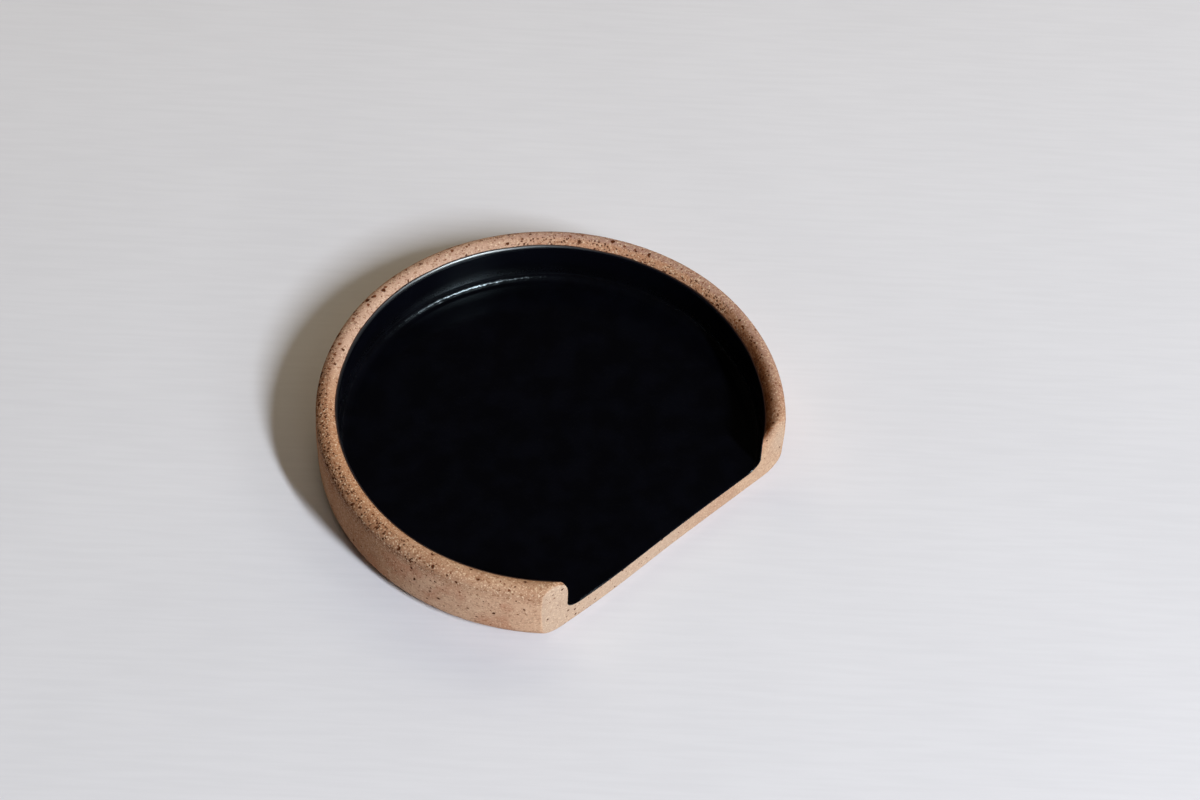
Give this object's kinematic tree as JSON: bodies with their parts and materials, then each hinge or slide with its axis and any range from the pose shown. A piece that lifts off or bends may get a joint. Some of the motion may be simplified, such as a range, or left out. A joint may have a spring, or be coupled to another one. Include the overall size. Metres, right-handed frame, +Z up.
{
  "type": "spoon rest",
  "caption": "Low round stoneware spoon rest with one side cut off straight, bare speckled clay outside and dark glaze inside, open at the front for a handle.",
  "frame": {"origin": "centre of the round foot, on the surface the dish stands on", "axes": "+Z up from the table through the rim; the straight cut and open front face -Y; +X to the right of a person who looks in from the open front"},
  "size_m": [0.125, 0.1074, 0.0205],
  "materials": {
    "bare_clay": "bare matt stoneware, buff with dark iron specks",
    "dark_glaze": "satin blue-black glaze"
  },
  "bodies": {
    "root": {"clay_floor": "bare_clay", "clay_wall": "bare_clay", "floor_glaze": "dark_glaze", "wall_glaze": "dark_glaze"}
  },
  "joints": []
}
